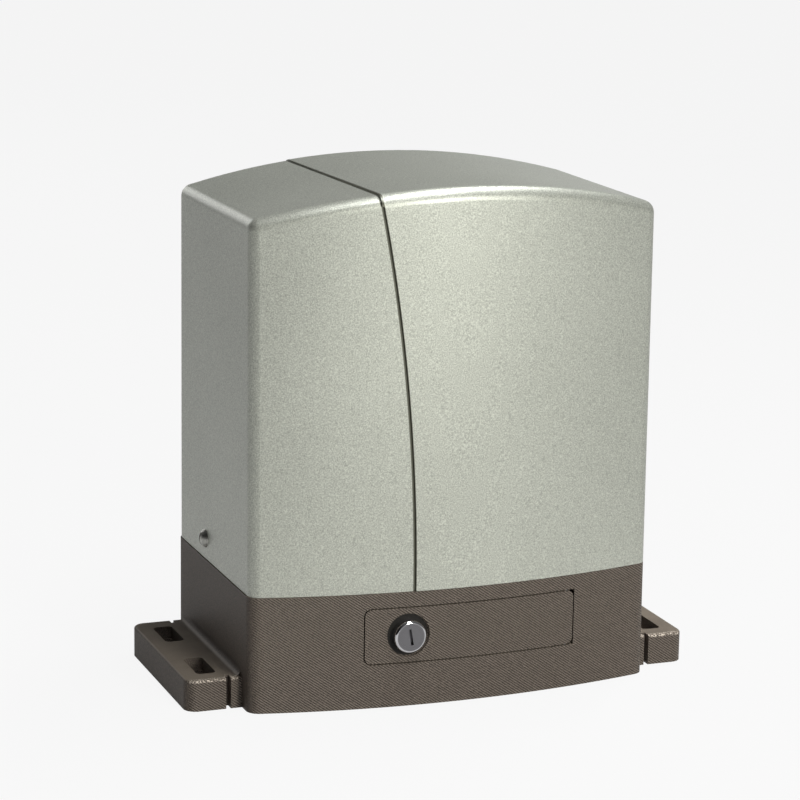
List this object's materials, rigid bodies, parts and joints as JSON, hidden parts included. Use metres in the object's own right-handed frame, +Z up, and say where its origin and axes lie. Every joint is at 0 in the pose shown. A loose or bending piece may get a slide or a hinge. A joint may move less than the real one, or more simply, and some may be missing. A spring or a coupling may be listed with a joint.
{
  "type": "sliding gate motor",
  "caption": "Sliding gate motor: arched two-panel cover on a cast base with slotted feet, locked release hatch, worm drive and rack pinion behind.",
  "frame": {"origin": "middle of the base's underside, under the middle of the body between its side walls and between rear wall and front corners", "axes": "+X to the right of someone facing the front, +Y to the rear, where the pinion and the gate are, +Z up"},
  "size_m": [0.338, 0.2296, 0.324],
  "materials": {
    "base_paint": "brown-grey paint with fine slanting ribs on the front faces",
    "cover_plastic": "grey-green metallic moulding with a fine grain",
    "lock_chrome": "polished chrome",
    "zinc_steel": "zinc plated",
    "bright_steel": "ground steel",
    "pinion_steel": "machined teeth, oiled",
    "cast_aluminium": "as cast",
    "lamination_steel": "stacked laminations",
    "wheel_bronze": "machined bronze",
    "winding_copper": "lacquered copper wire",
    "winding_tape": "yellow winding tape",
    "black_rubber": "matt",
    "black_plastic": "moulded",
    "knob_plastic": "red moulding",
    "board_green": "solder resist",
    "terminal_green": "moulded",
    "capacitor_white": "smooth can"
  },
  "bodies": {
    "base": {"base_housing": "base_paint", "base_pocket": "base_paint", "mounting_feet": "base_paint", "cable_grommet": "black_rubber", "hatch_pin": "bright_steel", "gearcase_front": "cast_aluminium", "gearcase_rear": "cast_aluminium", "gearcase_bolts": "zinc_steel", "output_front_bearing": "bright_steel", "output_rear_bearing": "bright_steel", "worm_foot_bearing": "bright_steel", "motor_lower_bearing": "bright_steel", "motor_top_bearing": "bright_steel", "shaft_seal": "black_rubber", "motor_casing": "cast_aluminium", "motor_end_shield": "cast_aluminium", "motor_tie_screws": "zinc_steel", "stator_core": "lamination_steel", "stator_windings": "winding_copper", "board_tray": "black_plastic", "control_board": "board_green", "board_screws": "zinc_steel", "board_terminals": "terminal_green", "board_parts": "black_plastic", "transformer_core": "lamination_steel", "transformer_coil": "winding_tape", "transformer_bracket": "zinc_steel", "run_capacitor": "capacitor_white", "capacitor_clip": "black_plastic", "limit_switch_housing": "black_plastic", "limit_switch_lid": "black_plastic", "limit_lever_pin": "bright_steel", "limit_microswitches": "knob_plastic"},
    "cover": {"cover_shell": "cover_plastic", "cover_screws": "zinc_steel", "cover_nuts": "zinc_steel"},
    "hatch": {"hatch_panel": "base_paint", "lock_barrel": "lock_chrome", "lock_nut": "zinc_steel"},
    "lock": {"lock_plug": "lock_chrome", "lock_tongue": "zinc_steel", "lock_tongue_screw": "zinc_steel"},
    "knob": {"release_knob": "knob_plastic", "knob_ring": "zinc_steel"},
    "rotor": {"worm_shaft": "bright_steel", "rotor_core": "lamination_steel", "rotor_rings": "cast_aluminium"},
    "wheel": {"worm_wheel_rim": "wheel_bronze", "worm_wheel_hub": "bright_steel"},
    "output": {"output_shaft": "bright_steel", "pinion": "pinion_steel", "pinion_key": "bright_steel", "pinion_spacer": "zinc_steel", "pinion_washer": "zinc_steel", "pinion_screw": "zinc_steel", "clutch_spring": "bright_steel"},
    "clutch": {"clutch_sleeve": "bright_steel", "clutch_pin": "bright_steel", "release_rod": "bright_steel"},
    "lever": {"limit_lever": "bright_steel"}
  },
  "joints": [
    {"name": "cover_lift", "type": "slide", "parent": "base", "child": "cover", "axis": [0, 0, 1], "range_m": [0, 0.26]},
    {"name": "hatch_hinge", "type": "hinge", "parent": "base", "child": "hatch", "pos_m": [0.0731, -0.08684, 0.046], "axis": [0, 0, 1], "range_deg": [0, 110]},
    {"name": "lock_turn", "type": "hinge", "parent": "hatch", "child": "lock", "pos_m": [-0.0353, -0.09263, 0.046], "axis": [0, 1, 0], "range_deg": [0, 90]},
    {"name": "release_turn", "type": "hinge", "parent": "base", "child": "knob", "pos_m": [0.012, -0.07, 0.046], "axis": [0, 1, 0], "range_deg": [0, 90]},
    {"name": "clutch_slide", "type": "slide", "parent": "output", "child": "clutch", "axis": [0, 1, 0], "range_m": [0, 0.004], "deforming": ["clutch_spring"]},
    {"name": "rotor_spin", "type": "hinge", "parent": "base", "child": "rotor", "pos_m": [0.052, 0, 0.1], "axis": [0, 0, 1], "continuous": true},
    {"name": "wheel_spin", "type": "hinge", "parent": "base", "child": "wheel", "pos_m": [0.012, 0, 0.046], "axis": [0, 1, 0], "continuous": true},
    {"name": "output_spin", "type": "hinge", "parent": "base", "child": "output", "pos_m": [0.012, 0.05, 0.046], "axis": [0, 1, 0], "continuous": true},
    {"name": "limit_lever_swing", "type": "hinge", "parent": "base", "child": "lever", "pos_m": [0.012, 0.0937, 0.122], "axis": [0, 0, 1], "range_deg": [-30, 30], "stiffness_Nm_per_rad": 0.2}
  ],
  "couplings": [
    {"joint": "wheel_spin", "follows": "rotor_spin", "ratio": 0.033333},
    {"joint": "output_spin", "follows": "rotor_spin", "ratio": 0.033333},
    {"joint": "clutch_slide", "follows": "release_turn", "m_per_rad": 0.002546}
  ]
}
